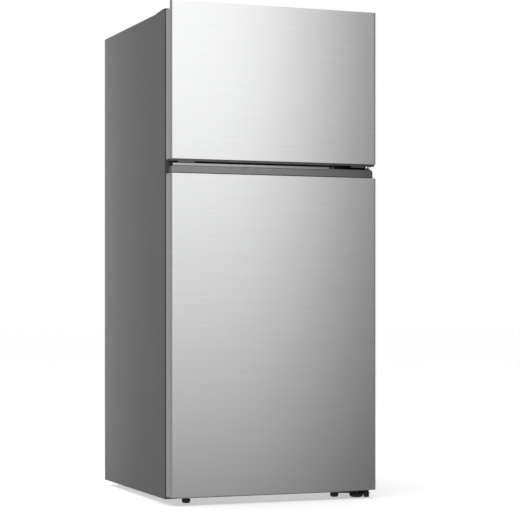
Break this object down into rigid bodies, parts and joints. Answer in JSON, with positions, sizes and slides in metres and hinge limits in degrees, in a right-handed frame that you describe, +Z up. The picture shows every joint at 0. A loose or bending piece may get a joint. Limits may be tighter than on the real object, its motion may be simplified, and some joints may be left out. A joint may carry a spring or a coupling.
{
  "type": "top freezer refrigerator",
  "caption": "Free-standing refrigerator with a freezer above: brushed steel doors hinged at the right, pocket handle, grey cabinet, door bins, glass shelves, crisper drawers, levelling feet.",
  "frame": {"origin": "on the floor, under the middle of the closed refrigerator's overall box", "axes": "+Z up, -Y out of the doors, +X to the right of someone facing the doors, towards the hinges"},
  "size_m": [0.754, 0.794, 1.69],
  "materials": {
    "brushed_steel": "satin",
    "grey_paint": "satin",
    "zinc_steel": "satin",
    "black_paint": "satin",
    "cap_plastic": "satin",
    "dark_plastic": "matte",
    "white_plastic": "gloss",
    "clear_plastic": "gloss",
    "clear_glass": "gloss",
    "gasket_rubber": "matte",
    "black_rubber": "matte",
    "foam": "matte",
    "copper": "satin",
    "aluminium": "satin"
  },
  "bodies": {
    "cabinet": {"side_panel_left": "grey_paint", "side_panel_right": "grey_paint", "top_panel": "grey_paint", "back_panel": "zinc_steel", "base_pan": "zinc_steel", "foam_insulation": "foam", "freezer_liner": "white_plastic", "fridge_liner": "white_plastic", "mullion_rail": "grey_paint", "machine_cover": "grey_paint", "compressor_plate": "zinc_steel", "compressor": "black_paint", "drip_tray": "dark_plastic", "condenser_coil": "copper", "rear_cover": "white_plastic", "evaporator": "aluminium", "fan_motor": "dark_plastic", "air_duct_cover": "white_plastic", "control_housing": "white_plastic", "light_lens": "clear_plastic", "freezer_shelf": "clear_glass", "fridge_shelf_upper": "clear_glass", "fridge_shelf_lower": "clear_glass", "crisper_cover": "clear_glass", "top_hinge": "zinc_steel", "top_hinge_cover": "dark_plastic", "top_corner_cap": "dark_plastic", "middle_hinge": "black_paint", "lower_hinge": "black_paint"},
    "fan_blade": {"fan_blade": "white_plastic"},
    "fridge_dial": {"fridge_temperature_dial": "cap_plastic"},
    "freezer_dial": {"freezer_temperature_dial": "cap_plastic"},
    "light_switch": {"light_switch_plunger": "white_plastic"},
    "drawer_left": {"crisper_drawer_left": "clear_plastic"},
    "drawer_right": {"crisper_drawer_right": "clear_plastic"},
    "slider_left": {"humidity_slider_left": "cap_plastic"},
    "slider_right": {"humidity_slider_right": "cap_plastic"},
    "foot_left": {"front_foot_left": "dark_plastic"},
    "foot_right": {"front_foot_right": "dark_plastic"},
    "foot_hinge": {"hinge_foot": "dark_plastic"},
    "roller_left": {"rear_roller_left": "black_rubber"},
    "roller_right": {"rear_roller_right": "black_rubber"},
    "freezer_door": {"freezer_door_skin": "brushed_steel", "freezer_door_body": "foam", "freezer_door_top_cap": "cap_plastic", "freezer_door_bottom_cap": "cap_plastic", "freezer_door_liner": "white_plastic", "freezer_door_gasket": "gasket_rubber", "freezer_bin_lower": "clear_plastic", "freezer_bin_upper": "clear_plastic"},
    "fridge_door": {"fridge_door_skin": "brushed_steel", "fridge_door_body": "foam", "fridge_door_handle_cap": "cap_plastic", "fridge_door_bottom_cap": "cap_plastic", "fridge_door_liner": "white_plastic", "fridge_door_gasket": "gasket_rubber", "fridge_bin_lower": "clear_plastic", "fridge_bin_middle": "clear_plastic", "fridge_bin_upper": "clear_plastic"}
  },
  "joints": [
    {"name": "freezer_door_hinge", "type": "hinge", "parent": "cabinet", "child": "freezer_door", "pos_m": [0.348, -0.371, 1.158], "axis": [0, 0, 1], "range_deg": [0, 135]},
    {"name": "fridge_door_hinge", "type": "hinge", "parent": "cabinet", "child": "fridge_door", "pos_m": [0.348, -0.371, 0.6], "axis": [0, 0, 1], "range_deg": [0, 135]},
    {"name": "drawer_left_slide", "type": "slide", "parent": "cabinet", "child": "drawer_left", "axis": [0, -1, 0], "range_m": [0, 0.24]},
    {"name": "drawer_right_slide", "type": "slide", "parent": "cabinet", "child": "drawer_right", "axis": [0, -1, 0], "range_m": [0, 0.24]},
    {"name": "slider_left_slide", "type": "slide", "parent": "drawer_left", "child": "slider_left", "axis": [1, 0, 0], "range_m": [0, 0.04]},
    {"name": "slider_right_slide", "type": "slide", "parent": "drawer_right", "child": "slider_right", "axis": [1, 0, 0], "range_m": [0, 0.04]},
    {"name": "fridge_dial_turn", "type": "hinge", "parent": "cabinet", "child": "fridge_dial", "pos_m": [0.095, -0.19, 1.0787], "axis": [0, -1, 0], "range_deg": [0, 270]},
    {"name": "freezer_dial_turn", "type": "hinge", "parent": "cabinet", "child": "freezer_dial", "pos_m": [-0.17, 0.245, 1.519], "axis": [0, -1, 0], "range_deg": [0, 270]},
    {"name": "light_switch_press", "type": "slide", "parent": "cabinet", "child": "light_switch", "axis": [0, 1, 0], "range_m": [0, 0.005], "stiffness_N_per_m": 150},
    {"name": "fan_spin", "type": "hinge", "parent": "cabinet", "child": "fan_blade", "pos_m": [0, 0.27, 1.519], "axis": [0, 1, 0], "continuous": true},
    {"name": "foot_left_thread", "type": "slide", "parent": "cabinet", "child": "foot_left", "axis": [0, 0, -1], "range_m": [0, 0.012]},
    {"name": "foot_right_thread", "type": "slide", "parent": "cabinet", "child": "foot_right", "axis": [0, 0, -1], "range_m": [0, 0.012]},
    {"name": "foot_hinge_thread", "type": "slide", "parent": "cabinet", "child": "foot_hinge", "axis": [0, 0, -1], "range_m": [0, 0.012]},
    {"name": "roller_left_spin", "type": "hinge", "parent": "cabinet", "child": "roller_left", "pos_m": [-0.3, 0.34, 0.015], "axis": [1, 0, 0], "continuous": true},
    {"name": "roller_right_spin", "type": "hinge", "parent": "cabinet", "child": "roller_right", "pos_m": [0.3, 0.34, 0.015], "axis": [1, 0, 0], "continuous": true}
  ],
  "couplings": [
    {"joint": "drawer_left_slide", "follows": "fridge_door_hinge", "m_per_rad": 0.10186},
    {"joint": "drawer_right_slide", "follows": "fridge_door_hinge", "m_per_rad": 0.10186}
  ]
}
